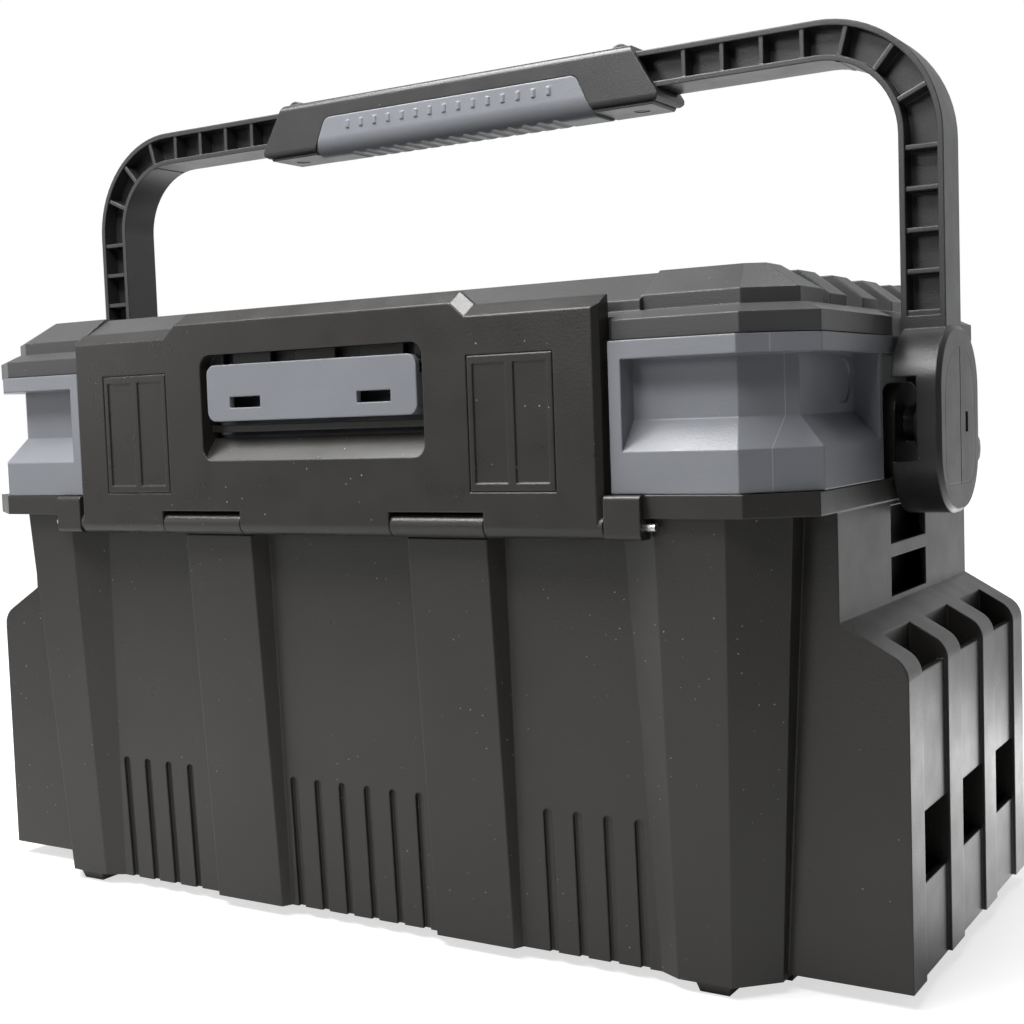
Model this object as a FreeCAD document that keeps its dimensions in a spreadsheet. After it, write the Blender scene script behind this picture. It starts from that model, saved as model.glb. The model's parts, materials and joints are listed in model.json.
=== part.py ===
import FreeCAD, Part
import math
import os
import re
import Sketcher

# Tackle box, an upright bin with a hinged middle tray, a hinged lid, a wide front
# flap with a pull latch, and a carrying handle on two side hubs. Millimetres.
# X runs along the length, the flap faces -Y, Z is up and 0 is under the feet.

doc = FreeCAD.newDocument("tackle_box")
sheet = doc.addObject("Spreadsheet::Sheet", "Sizes")

SIZES = {
    # overall
    "half_wide": 217.0,
    "half_deep": 116.2,
    "wall": 3.0,
    # bin, outer shape under the rim: low values at the foot, top values at the rim
    "foot_high": 4.5,
    "foot_wide": 14.0,
    "foot_front": 96.0,
    "foot_side": 151.5,
    "foot_taper": 1.5,
    "foot_root": 0.5,
    "side_foot_out": 172.5,
    "side_foot_front": 73.0,
    "side_foot_wide": 12.0,
    "rim_low": 167.0,
    "rim_high": 175.0,
    "post_face_low": 98.4,
    "post_face_top": 108.2,
    "panel_face_low": 94.4,
    "panel_face_top": 100.7,
    "post_inner": 38.3,
    "post_outer": 72.7,
    "post_slope_low": 2.0,
    "post_slope_top": 3.75,
    "corner_post": 139.5,
    "corner_slope_low": 8.0,
    "corner_slope_top": 15.0,
    "corner_low": 159.7,
    "corner_top": 165.5,
    "side_low": 173.0,
    "side_top": 182.5,
    "rim_side": 194.6,
    "rim_front": 112.5,
    "rim_corner": 173.5,
    "rim_edge": 98.0,
    # rounded grooves low on the front and rear panels
    "groove_wide": 3.6,
    "groove_deep": 1.6,
    "groove_round": 1.75,
    "groove_high": 59.0,
    "groove_pitch": 12.4,
    "groove_first_middle": 30.9,
    "groove_first_end": 87.8,
    # end holders with three cells each, and the column above them
    "holder_half": 80.6,
    "holder_low": 5.9,
    "holder_shoulder": 116.5,
    "holder_round": 9.0,
    "holder_top": 129.9,
    "column_face": 194.0,
    "cell_pitch": 49.2,
    "cell_wide": 32.1,
    "cell_inner": 199.0,
    "cell_floor": 9.0,
    "slot_inner": 203.5,
    "slot_low": 111.4,
    "strip_deep": 1.4,
    "window_low": 38.2,
    "window_high": 63.2,
    "holder_skin": 2.6,
    "column_window": 22.3,
    "column_window_low": 131.5,
    "column_window_bar": 146.0,
    "column_window_bar_top": 151.0,
    "column_window_high": 165.0,
    # ledges for the lift-out tray
    "ledge_high": 126.0,
    "ledge_thick": 3.0,
    "ledge_reach": 16.0,
    "ledge_half": 45.0,
    # front hinge of the flap
    "flap_pin_in": 4.4,
    "flap_pin_high": 164.0,
    "flap_pin_radius": 1.4,
    "flap_pin_half": 142.4,
    "knuckle_inner": 36.3,
    "knuckle_outer": 76.7,
    "bracket_inner": 124.9,
    "bracket_outer": 138.6,
    "bracket_low": 159.8,
    "channel_back": 106.8,
    # handle pivot
    "pivot_high": 194.6,
    "ear_inner": 188.6,
    "ear_outer": 194.5,
    "ear_half": 15.5,
    "axle_radius": 6.8,
    "axle_end": 209.3,
    "pivot_screw_radius": 2.0,
    "pivot_screw_deep": 20.0,
    "pivot_head_radius": 4.6,
    "pivot_head_thick": 1.3,
    "washer_radius": 8.4,
    "washer_thick": 1.0,
    # rear hinges of the tray and of the lid
    "rear_barrel": 5.3,
    "tray_pin_high": 180.8,
    "lid_pin_high": 232.6,
    "rear_pin_radius": 1.6,
    "rear_pin_half": 191.8,
    "rear_row_end": 192.4,
    "lid_pin_half": 163.6,
    "knuckle_long": 36.0,
    "knuckle_pitch": 36.4,
    # fits
    "running_gap": 0.05,
    "seat_gap": 0.1,
    "body_gap": 0.3,
    # middle tray
    "tray_side": 194.6,
    "tray_front": 112.5,
    "tray_corner": 172.5,
    "tray_edge": 93.5,
    "tray_bulge_high": 189.5,
    "tray_slope_high": 200.0,
    "tray_flange_low": 220.6,
    "tray_high": 226.9,
    "tray_inset": 9.5,
    "tray_floor": 190.0,
    "tray_under": 187.0,
    "frame_wide": 4.6,
    "recess_front": 54.0,
    "recess_rear": 38.0,
    "recess_low": 203.5,
    "recess_high": 218.5,
    "recess_deep": 0.6,
    "mouth_half": 126.4,
    "mouth_back": 106.6,
    "rear_back": 104.6,
    "rear_bay_half": 164.2,
    "ear_bay_half": 31.0,
    "ear_bay_side": 187.6,
    # lid
    "lid_front": 109.4,
    "lid_edge": 94.0,
    "lid_band_high": 234.0,
    "lid_ledge_high": 237.0,
    "lid_ledge_inset": 6.0,
    "lid_middle_low": 240.7,
    "lid_block_high": 242.2,
    "lid_block_top": 251.4,
    "lid_block_inset": 23.0,
    "lid_middle_top": 250.8,
    "lid_middle_inset": 25.0,
    "lid_block_start": 134.0,
    "lid_block_lean": 0.5,
    "lid_block_back": 68.0,
    "lid_roof": 3.0,
    "lid_bay_half": 18.0,
    "lid_bay_side": 189.6,
    "lid_rib_wide": 17.0,
    "lid_rib_pitch": 35.0,
    "lid_rib_top": 250.0,
    "lid_rib_reach": 186.5,
    "lid_rib_foot": 241.0,
    "lid_rib_shoulder": 175.0,
    # flap
    "flap_half": 124.4,
    "flap_edge": 2.0,
    "flap_skin": 3.0,
    "flap_deep": 9.0,
    "flap_rib_pitch": 17.0,
    "flap_side_high": 238.4,
    "flap_middle_high": 243.6,
    "flap_bevel_rise": 4.6,
    "flap_bevel_run": 7.4,
    "flap_step_outer": 72.0,
    "flap_step_inner": 66.0,
    "window_half": 53.3,
    "latch_window_low": 189.0,
    "latch_window_high": 231.0,
    "window_round": 5.0,
    "scoop_high": 198.0,
    "scoop_bar_low": 200.2,
    "scoop_bar_high": 203.0,
    "panel_inner": 72.0,
    "panel_outer": 107.3,
    "panel_low": 176.2,
    "panel_high": 225.0,
    "panel_frame": 2.6,
    "panel_pane": 13.4,
    "engrave": 0.5,
    # latch springs
    "spring_out": 43.7,
    "spring_long": 4.0,
    "spring_radius": 1.8,
    # latch
    "latch_half": 50.3,
    "latch_low": 204.6,
    "latch_high": 226.8,
    "latch_face": 115.7,
    "latch_skin": 2.6,
    "latch_deep": 7.4,
    "latch_round": 4.0,
    "latch_pin_high": 224.0,
    "latch_pin_face": 109.4,
    "latch_barrel": 2.0,
    "latch_eye": 1.7,
    "latch_web": 0.6,
    "latch_lug_room": 0.4,
    "latch_pin_half": 50.0,
    "latch_pin_radius": 1.0,
    "latch_lug_wide": 19.5,
    "latch_lug_pitch": 31.5,
    "latch_slot_centre": 31.0,
    "latch_slot_wide": 15.4,
    "latch_slot_high": 4.3,
    "latch_slot_low": 209.8,
    "latch_rim_top": 219.6,
    "hook_wide": 10.0,
    "hook_out": 15.75,
    "hook_low": 214.0,
    "hook_high": 220.0,
    # handle
    "bail_outer": 212.0,
    "bail_inner": 195.6,
    "bail_top": 346.4,
    "bail_under": 331.3,
    "bail_half": 10.1,
    "bail_round": 47.0,
    "bail_lip": 2.2,
    "bail_web": 4.0,
    "rib_thick": 1.8,
    "rib_pitch": 15.0,
    "rib_first": 295.3,
    "rib_turn": 25.5,
    "rib_turn_first": 24.0,
    "rib_top_first": 159.5,
    "rib_top_pitch": 16.2,
    "hub_inner": 196.4,
    "hub_outer": 214.0,
    "hub_half": 27.0,
    "hub_low": 161.2,
    "hub_high": 230.2,
    "hub_turn": 23.5,
    "hub_round": 1.6,
    "hub_skirt": 3.0,
    "hub_plate": 5.0,
    "hub_boss": 11.0,
    "hub_boss_inner": 199.6,
    "hub_notch_low": 181.2,
    "hub_notch_high": 211.8,
    "hub_notch_outer": 205.4,
    "head_room": 9.2,
    "cap_half": 20.5,
    "cap_low": 172.0,
    "cap_high": 222.4,
    "cap_turn": 20.0,
    "cap_turn_low": 8.0,
    "cap_thick": 1.7,
    "cap_seat": 1.7,
    "cap_slot_out": 8.7,
    "cap_slot_wide": 3.6,
    "cap_slot_high": 7.6,
    # grip
    "grip_half": 100.8,
    "grip_top_half": 89.0,
    "grip_top": 349.0,
    "grip_cover_low": 326.0,
    "grip_deep": 13.2,
    "grip_end_high": 329.0,
    "grip_top_round": 3.0,
    "grip_low_round": 2.4,
    "grip_chamfer": 1.3,
    "grip_bump_radius": 4.5,
    "grip_bump_out": 83.5,
    "grip_bump_rise": 1.5,
    "insert_half": 71.0,
    "insert_top_half": 64.5,
    "insert_top": 340.4,
    "insert_low": 323.6,
    "insert_round": 8.0,
    "insert_corner": 4.0,
    "ripple_pitch": 7.4,
    "ripple_radius": 1.6,
    "ripple_deep": 0.5,
    "ripple_high": 337.6,
    "ripple_low": 334.2,
    "scallop_radius": 3.4,
    "scallop_deep": 0.9,
    "lower_half": 98.2,
    "lower_low": 324.7,
    "strip_half": 7.0,
    "strip_end": 76.0,
    "riser_end": 94.0,
    "riser_top": 329.0,
    "grip_screw_radius": 3.2,
    "grip_shank_radius": 1.5,
    "grip_head_deep": 2.0,
    "grip_screw_out": 88.0,
    "grip_screw_top": 336.5,
    # lift-out tray and loose dividers
    "lift_half_long": 172.0,
    "lift_half_deep": 86.0,
    "lift_high": 38.0,
    "lift_skin": 2.0,
    "divider_thick": 2.0,
    "divider_out": 62.0,
    "lift_third": 57.0,
}
for row, (name, number) in enumerate(SIZES.items(), start=1):
    sheet.set(f"A{row}", name)
    sheet.set(f"B{row}", str(number))
    sheet.setAlias(f"B{row}", name)
doc.recompute()


def bind(text):
    """Write a formula on the size names as one on the sheet's cells."""
    return re.sub(r"[a-z_]+", lambda m: "Sizes." + m[0] if m[0] in SIZES else m[0], text)


def value(text):
    return float(sheet.evalExpression(bind(text)))


def flip(text):
    return f"-({text})"


def new_body(label):
    body = doc.addObject("PartDesign::Body", label)
    body.Label = label
    return body


def origin_part(body, role):
    return next(o for o in body.Origin.OriginFeatures if o.Role == role)


def new_sketch(body, name, plane, at):
    """A sketch on the XY, XZ or YZ plane, moved to a height, depth or length."""
    sketch = body.newObject("Sketcher::SketchObject", name)
    sketch.AttachmentSupport = [(origin_part(body, plane + "_Plane"), "")]
    sketch.MapMode = "FlatFace"
    along_normal = flip(at) if plane == "XZ" else at
    sketch.AttachmentOffset = FreeCAD.Placement(
        FreeCAD.Vector(0, 0, value(along_normal)), FreeCAD.Rotation())
    sketch.setExpression(".AttachmentOffset.Base.z", bind(along_normal))
    return sketch


class Rules:
    """The constraints of a sketch, added together, each bound to its formula."""

    def __init__(self, sketch):
        self.sketch = sketch
        self.rules = []
        self.texts = {}

    def add(self, kind, *where, text=None):
        if text is None:
            self.rules.append(Sketcher.Constraint(kind, *where))
            return
        self.texts[len(self.rules)] = text
        self.rules.append(Sketcher.Constraint(kind, *where, value(text)))

    def place(self, geometry, end, x, y):
        self.add("DistanceX", -1, 1, geometry, end, text=x)
        self.add("DistanceY", -1, 1, geometry, end, text=y)

    def apply(self):
        self.sketch.addConstraint(self.rules)
        for number, text in self.texts.items():
            self.sketch.setExpression(f"Constraints[{number}]", bind(text))


def add_loop(sketch, rules, corners):
    spots = [FreeCAD.Vector(value(c[0]), value(c[1]), 0) for c in corners]
    count = len(spots)
    entries = []
    exits = []
    arcs = []
    for i, spot in enumerate(spots):
        if len(corners[i]) == 2:
            entries.append(spot)
            exits.append(spot)
            arcs.append(None)
            continue
        radius = value(corners[i][2])
        back = (spots[i - 1] - spot).normalize()
        ahead = (spots[(i + 1) % count] - spot).normalize()
        half = back.getAngle(ahead) / 2
        entries.append(spot + back * (radius / math.tan(half)))
        exits.append(spot + ahead * (radius / math.tan(half)))
        centre = spot + (back + ahead).normalize() * (radius / math.sin(half))
        left_turn = back.cross(ahead).z < 0
        first, last = (entries[i], exits[i]) if left_turn else (exits[i], entries[i])
        angles = [math.atan2(p.y - centre.y, p.x - centre.x) for p in (first, last)]
        circle = Part.Circle(centre, FreeCAD.Vector(0, 0, 1), radius)
        arcs.append((Part.ArcOfCircle(circle, angles[0], angles[1]), left_turn))
    first_line = sketch.GeometryCount
    sketch.addGeometry([Part.LineSegment(exits[i], entries[(i + 1) % count])
                        for i in range(count)], False)
    for i, corner in enumerate(corners):
        line = first_line + i
        before = first_line + (i - 1) % count
        if arcs[i] is None:
            rules.add("Coincident", before, 2, line, 1)
            rules.place(line, 1, corner[0], corner[1])
            continue
        arc = sketch.addGeometry(arcs[i][0], False)
        mark = sketch.addGeometry(Part.Point(spots[i]), True)
        rules.place(mark, 1, corner[0], corner[1])
        start, end = (1, 2) if arcs[i][1] else (2, 1)
        rules.add("Tangent", before, 2, arc, start)
        rules.add("Tangent", line, 1, arc, end)
        rules.add("PointOnObject", mark, 1, before)
        rules.add("PointOnObject", mark, 1, line)
        rules.add("Radius", arc, text=corner[2])


def outline(body, name, plane, at, loops):
    """Closed outlines; a corner is (x, y) or (x, y, radius), each a formula."""
    sketch = new_sketch(body, name, plane, at)
    rules = Rules(sketch)
    for corners in loops:
        add_loop(sketch, rules, corners)
    rules.apply()
    return sketch


def circles(body, name, plane, at, rounds):
    """One or more whole circles, each (x, y, radius)."""
    sketch = new_sketch(body, name, plane, at)
    rules = Rules(sketch)
    for x, y, radius in rounds:
        centre = FreeCAD.Vector(value(x), value(y), 0)
        circle = Part.Circle(centre, FreeCAD.Vector(0, 0, 1), value(radius))
        geometry = sketch.addGeometry(circle, False)
        rules.place(geometry, 3, x, y)
        rules.add("Radius", geometry, text=radius)
    rules.apply()
    return sketch


def extrude(body, name, sketch, plane, length, cut=False):
    """Add or cut along +Z, +Y or +X from the sketch."""
    kind = "PartDesign::Pocket" if cut else "PartDesign::Pad"
    feature = body.newObject(kind, name)
    feature.Profile = sketch
    feature.Length = value(length)
    feature.setExpression("Length", bind(length))
    against_normal = plane == "XZ"
    feature.Reversed = against_normal != cut
    feature.Refine = False
    sketch.Visibility = False
    return feature


def prism(body, name, plane, low, high, *loops, cut=False):
    sketch = outline(body, name + "_outline", plane, low, loops)
    return extrude(body, name, sketch, plane, f"({high}) - ({low})", cut)


def rod(body, name, plane, low, high, rounds, cut=False):
    sketch = circles(body, name + "_circle", plane, low, rounds)
    return extrude(body, name, sketch, plane, f"({high}) - ({low})", cut)


def box(x_low, y_low, x_high, y_high):
    return [(x_low, y_low), (x_high, y_low), (x_high, y_high), (x_low, y_high)]


def loft(body, name, plane, low, high, lower, upper, cut=False):
    """A straight-sided loft between two parallel outlines."""
    kind = "PartDesign::SubtractiveLoft" if cut else "PartDesign::AdditiveLoft"
    first = outline(body, name + "_low", plane, low, [lower])
    last = outline(body, name + "_high", plane, high, [upper])
    feature = body.newObject(kind, name)
    feature.Profile = first
    feature.Sections = [last]
    feature.Ruled = True
    feature.Refine = False
    return feature


def mirrored(body, name, features, role="YZ_Plane"):
    feature = body.newObject("PartDesign::Mirrored", name)
    feature.Originals = features
    feature.Refine = False
    feature.MirrorPlane = (origin_part(body, role), [""])
    body.Tip = feature
    return feature


def other_side(item, name):
    """The mirror image of a whole piece across X = 0."""
    image = doc.addObject("Part::Mirroring", name)
    image.Label = name
    image.Source = item
    image.Normal = FreeCAD.Vector(1, 0, 0)
    return image


def joined(name, items):
    union = doc.addObject("Part::MultiFuse", name)
    union.Label = name
    union.Shapes = items
    union.Refine = False
    return union


def carved(name, item, tool):
    result = doc.addObject("Part::Cut", name)
    result.Label = name
    result.Base = item
    result.Tool = tool
    result.Refine = False
    return result


def both(corners):
    """An outline and its mirror image across the first axis of the sketch."""
    return [corners, [(flip(c[0]), *c[1:]) for c in reversed(corners)]]


def four_way(quarter):
    """Mirror the corners of one quarter, given from +X round to +Y, to all four."""
    left_rear = [(flip(x), y) for x, y in reversed(quarter)]
    left_front = [(flip(x), flip(y)) for x, y in quarter]
    right_front = [(x, flip(y)) for x, y in reversed(quarter)]
    return quarter + left_rear + left_front + right_front


def eight_sided(side, front, corner, edge, inset="0"):
    """A rectangle with cut corners, drawn in by the same amount all round."""
    angle = f"atan(({front} - {edge}) / ({side} - {corner}))"
    near_front = f"{corner} - ({inset}) * tan({angle} / 2)"
    near_side = f"{edge} - ({inset}) * tan((90 deg - {angle}) / 2)"
    return four_way([
        (f"{side} - ({inset})", near_side),
        (near_front, f"{front} - ({inset})")])


sub_parts = []


def finish(item):
    sub_parts.append(item)
    return item


# base bin: a thick rim on drafted walls with corner posts, recessed panels and feet
shell = new_body("bin_shell")
prism(shell, "rim", "XY", "rim_low", "rim_high",
      eight_sided("rim_side", "rim_front", "rim_corner", "rim_edge"))


def bin_section(post, panel, slope, corner_slope, corner, side):
    """The bin's outline at one height; its corners are cut at 45 degrees."""
    return four_way([
        (side, f"{post} - ({side} - {corner})"),
        (corner, post),
        ("corner_post", post),
        (f"corner_post - {corner_slope}", panel),
        (f"post_outer + {slope}", panel),
        ("post_outer", post),
        ("post_inner", post),
        (f"post_inner - {slope}", panel)])


loft(shell, "bin_walls", "XY", "foot_high", "rim_low",
     bin_section("post_face_low", "panel_face_low", "post_slope_low",
                 "corner_slope_low", "corner_low", "side_low"),
     bin_section("post_face_top", "panel_face_top", "post_slope_top",
                 "corner_slope_top", "corner_top", "side_top"))


def foot(name, x_low, x_high, y_low, y_high):
    """A foot that narrows downwards, and its mirror image at the left."""
    top = box(x_low, y_low, x_high, y_high)
    low = box(f"{x_low} + foot_taper", f"{y_low} + foot_taper",
              f"{x_high} - foot_taper", f"{y_high} - foot_taper")
    block = loft(shell, name, "XY", "0", "foot_high + foot_root", low, top)
    mirrored(shell, name + "_left", [block])


for name, x_low, x_high, out, deep in (
        ("corner_foot", "foot_side - foot_wide / 2", "foot_side + foot_wide / 2",
         "foot_front", "foot_wide"),
        ("side_foot", "side_foot_out - side_foot_wide", "side_foot_out",
         "side_foot_front", "side_foot_wide")):
    foot(name + "_front", x_low, x_high, f"-{out}", f"{deep} - {out}")
    foot(name + "_rear", x_low, x_high, f"{out} - {deep}", out)

# base bin, right end: a holder with three cells, open at the top and through a low
# window, a column above it, the ear and axle of the handle and a bracket
end = new_body("bin_end")
prism(end, "holder", "XZ", "-holder_half", "holder_half", [
    ("side_low - wall", "holder_low"),
    ("half_wide", "holder_low"),
    ("half_wide", "holder_shoulder", "holder_round"),
    ("column_face", "holder_top"),
    ("column_face", "rim_low + wall"),
    ("side_low - wall", "rim_low + wall")])
loft(end, "holder_hollow", "XY", "holder_low", "rim_low - wall",
     box("side_low + wall", "wall - holder_half",
         "cell_inner - holder_skin", "holder_half - wall"),
     box("side_top + wall", "wall - holder_half",
         "column_face - holder_skin", "holder_half - wall"), cut=True)


def three_cells(low, high):
    """Boxes for the three cells, seen along X."""
    return [box(f"{place} * cell_pitch - cell_wide / 2", low,
                f"{place} * cell_pitch + cell_wide / 2", high) for place in (-1, 0, 1)]


prism(end, "cells", "YZ", "cell_inner", "half_wide - strip_deep - holder_skin",
      *three_cells("cell_floor", "slot_low + 0.5"), cut=True)
prism(end, "slots", "YZ", "slot_inner", "half_wide + wall",
      *three_cells("slot_low", "holder_top"), cut=True)
prism(end, "strips", "YZ", "half_wide - strip_deep", "half_wide + wall",
      *three_cells("0", "slot_low + 0.5"), cut=True)
prism(end, "windows", "YZ", "cell_inner + wall", "half_wide + wall",
      *three_cells("window_low", "window_high"), cut=True)
prism(end, "column_windows", "YZ", "side_top + wall + 1", "half_wide",
      box("-column_window", "column_window_low",
          "column_window", "column_window_bar"),
      box("-column_window", "column_window_bar_top",
          "column_window", "column_window_high"), cut=True)
prism(end, "ear", "YZ", "ear_inner", "ear_outer", [
    ("-ear_half - 3", "rim_low + 1"),
    ("ear_half + 3", "rim_low + 1"),
    ("ear_half", "pivot_high + ear_half", "ear_half - 2"),
    ("-ear_half", "pivot_high + ear_half", "ear_half - 2")])
rod(end, "axle", "YZ", "ear_outer - 1", "axle_end",
    [("0", "pivot_high", "axle_radius")])
rod(end, "axle_hole", "YZ", "axle_end - pivot_screw_deep", "axle_end",
    [("0", "pivot_high", "pivot_screw_radius")], cut=True)
prism(end, "bracket", "YZ", "bracket_inner", "bracket_outer", [
    ("-half_deep", "bracket_low", "2"),
    ("4 - rim_front", "bracket_low"),
    ("4 - rim_front", "rim_high"),
    ("-half_deep", "rim_high", "1.5")])

# base bin, what is cut out: the inside, the channel of the flap, the bores of the
# front and rear pins, and the grooves low on the panels
hollow = new_body("bin_hollow")


def cavity_section(panel, corner, side):
    return four_way([
        (f"{side} - wall", f"{panel} - wall - ({side} - {corner})"),
        (f"{corner} - wall", f"{panel} - wall")])


loft(hollow, "cavity", "XY", "foot_high + wall", "rim_high + 1",
     cavity_section("panel_face_low", "corner_low", "side_low"),
     cavity_section("panel_face_top", "corner_top", "side_top"))
prism(hollow, "flap_channel", "XY", "bracket_low - 1", "rim_high + 1",
      box("-bracket_inner", "-half_deep - 1", "bracket_inner", "-channel_back"))
rod(hollow, "flap_pin_bore", "YZ", "-flap_pin_half", "flap_pin_half",
    [("flap_pin_in - half_deep", "flap_pin_high", "flap_pin_radius")])
lean = "atan((panel_face_top - panel_face_low) / (rim_low - foot_high))"


def groove(centre):
    low = f"{centre} - groove_wide / 2"
    high = f"{centre} + groove_wide / 2"
    top = "groove_high - foot_high"
    return [(low, "-2"), (high, "-2"), (high, top, "groove_round"),
            (low, top, "groove_round")]


def panel_grooves(name, centres):
    """Grooves on the leaning front panel, cut square to its face."""
    sketch = outline(hollow, name + "_outline", "XZ",
                     "groove_deep - panel_face_low", [groove(c) for c in centres])
    sketch.AttachmentOffset = FreeCAD.Placement(
        sketch.AttachmentOffset.Base, FreeCAD.Rotation(FreeCAD.Vector(1, 0, 0), 1))
    sketch.setExpression(".AttachmentOffset.Base.y", bind("foot_high"))
    sketch.setExpression(".AttachmentOffset.Rotation.Angle", bind(lean))
    pad = hollow.newObject("PartDesign::Pad", name)
    pad.Profile = sketch
    pad.setExpression("Length", bind("groove_deep + 1.4"))
    pad.Refine = False
    return pad


grooves = [
    panel_grooves("middle_grooves",
                  [f"groove_first_middle - {n} * groove_pitch" for n in range(6)]),
    panel_grooves("right_grooves",
                  [f"groove_first_end + {n} * groove_pitch" for n in range(4)]),
    panel_grooves("left_grooves",
                  [f"-groove_first_end - {n} * groove_pitch" for n in range(4)])]
mirrored(hollow, "rear_grooves", grooves, "XZ_Plane")

# base bin, what stands inside or on the rim: ledges for the lift-out tray, the front
# hinge knuckles and the rear ones that carry the tray
fittings = new_body("bin_fittings")
side_draft = "(side_top - side_low) / (rim_low - foot_high)"
side_at_ledge = f"side_low + (ledge_high - ledge_thick - foot_high) * {side_draft}"
prism(fittings, "ledges", "XY", "ledge_high - ledge_thick", "ledge_high",
      *both(box(f"{side_at_ledge} - ledge_reach", "-ledge_half",
                f"{side_at_ledge} - wall / 2", "ledge_half")))
flap_axis = "flap_pin_in - half_deep"
prism(fittings, "front_knuckles", "YZ", "-knuckle_outer", "knuckle_outer", [
    ("-half_deep", "flap_pin_high - flap_pin_in", "flap_pin_in - 0.1"),
    ("2 - channel_back", "flap_pin_high - flap_pin_in"),
    ("2 - channel_back", "flap_pin_high + flap_pin_in"),
    ("-half_deep", "flap_pin_high + flap_pin_in", "flap_pin_in - 0.1")])
prism(fittings, "front_knuckle_gap", "XY", "bracket_low - 1", "rim_high",
      box("-knuckle_inner", "-half_deep - 1", "knuckle_inner", "-channel_back"),
      cut=True)
rear_axis = "(half_deep - rear_barrel)"


def knuckle_spans(first, second):
    """Boxes from above for hinge knuckles at every other place along the rear."""
    far = "half_deep + 1"
    near = f"{rear_axis} - rear_barrel"
    spans = [box(f"{place} * knuckle_pitch - knuckle_long / 2", near,
                 f"{place} * knuckle_pitch + knuckle_long / 2", far)
             for place in range(first, second)]
    return spans[::2]


prism(fittings, "rear_knuckles", "YZ", "-4.5 * knuckle_pitch", "4.5 * knuckle_pitch", [
    ("half_deep", "rim_high - 3"),
    ("half_deep", "tray_pin_high + rear_barrel", "rear_barrel - 0.1"),
    (f"{rear_axis} - rear_barrel", "tray_pin_high + rear_barrel", "rear_barrel - 0.1"),
    (f"{rear_axis} - rear_barrel", "rim_high - 3")])
prism(fittings, "rear_knuckle_gaps", "XY", "rim_high - 3", "tray_pin_high + rear_barrel",
      *knuckle_spans(-3, 4), cut=True)
rod(fittings, "front_bore", "YZ", "-flap_pin_half", "flap_pin_half",
    [(flap_axis, "flap_pin_high", "flap_pin_radius")], cut=True)
rod(fittings, "rear_bore", "YZ", "-rear_pin_half", "rear_pin_half",
    [(rear_axis, "tray_pin_high", "rear_pin_radius")], cut=True)
bin_outside = joined("bin_outside", [shell, end, other_side(end, "bin_left_end")])
finish(joined("base_bin", [carved("bin_carved", bin_outside, hollow), fittings]))

# hinge pins: plain steel rods, fixed in the fixed half of each hinge
for name, y, z, radius, half in (
        ("front_hinge_pin", flap_axis, "flap_pin_high", "flap_pin_radius",
         "flap_pin_half"),
        ("tray_hinge_pin", rear_axis, "tray_pin_high", "rear_pin_radius",
         "rear_pin_half"),
        ("lid_hinge_pin", rear_axis, "lid_pin_high", "rear_pin_radius",
         "lid_pin_half")):
    pin = new_body(name)
    rod(pin, name + "_rod", "YZ", f"-{half}", half, [(y, z, radius)])
    finish(pin)

# middle tray: a bulging skirt, a slope in to an upright band and a flange on top
tray = new_body("tray_shell")


def tray_outline(inset):
    return eight_sided("tray_side", "tray_front", "tray_corner", "tray_edge", inset)


inner = "(tray_inset + wall)"
prism(tray, "tray_skirt", "XY", "rim_high + body_gap", "tray_bulge_high",
      tray_outline("0"))
loft(tray, "tray_slope", "XY", "tray_bulge_high", "tray_slope_high",
     tray_outline("0"), tray_outline("tray_inset"))
prism(tray, "tray_band", "XY", "tray_slope_high", "tray_flange_low",
      tray_outline("tray_inset"))
prism(tray, "tray_flange", "XY", "tray_flange_low", "tray_high", tray_outline("0"))
prism(tray, "tray_under", "XY", "rim_high", "tray_under", tray_outline("wall"), cut=True)
prism(tray, "bay_walls", "XY", "rim_high + body_gap", "tray_bulge_high",
      *both(box("ear_bay_side - wall", "-ear_bay_half - wall",
                "tray_side", "ear_bay_half + wall")),
      box("-mouth_half - wall", "-tray_front",
          "mouth_half + wall", "wall - mouth_back"),
      box("-rear_bay_half - wall", "rear_back - wall",
          "rear_bay_half + wall", "tray_front"))
prism(tray, "frame_strips", "XY", "tray_bulge_high", "tray_flange_low",
      *both(box("mouth_half", "-tray_front", "mouth_half + frame_wide",
                "tray_inset - tray_front + 1")),
      *both(box("tray_side - tray_inset - 1", "-ear_bay_half - wall",
                "tray_side", "-ear_bay_half")),
      *both(box("tray_side - tray_inset - 1", "ear_bay_half",
                "tray_side", "ear_bay_half + wall")))
prism(tray, "tray_inside", "XY", "tray_floor", "tray_high + 1",
      tray_outline(inner), cut=True)
prism(tray, "front_bay", "XY", "rim_high", "tray_high + 1",
      box("-mouth_half", "-tray_front - 1", "mouth_half", "-mouth_back"), cut=True)
rod(tray, "tray_pin_way", "YZ", "-tray_side", "tray_side",
    [(rear_axis, "tray_pin_high", "rear_pin_radius + running_gap")], cut=True)
prism(tray, "low_bays", "XY", "rim_high", "tray_flange_low",
      *both(box("ear_bay_side", "-ear_bay_half", "tray_side + 1", "ear_bay_half")),
      box("-rear_bay_half", "rear_back", "rear_bay_half", "tray_front + 1"), cut=True)
recess = [(y, z, "6") for y, z in box("-recess_front", "recess_low",
                                     "-recess_rear", "recess_high")]
prism(tray, "band_recesses", "YZ", "tray_side - tray_inset - recess_deep",
      "tray_side - tray_inset + 1", *both(recess), cut=True)
prism(tray, "left_band_recesses", "YZ", "tray_inset - tray_side - 1",
      "recess_deep + tray_inset - tray_side", *both(recess), cut=True)


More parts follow.
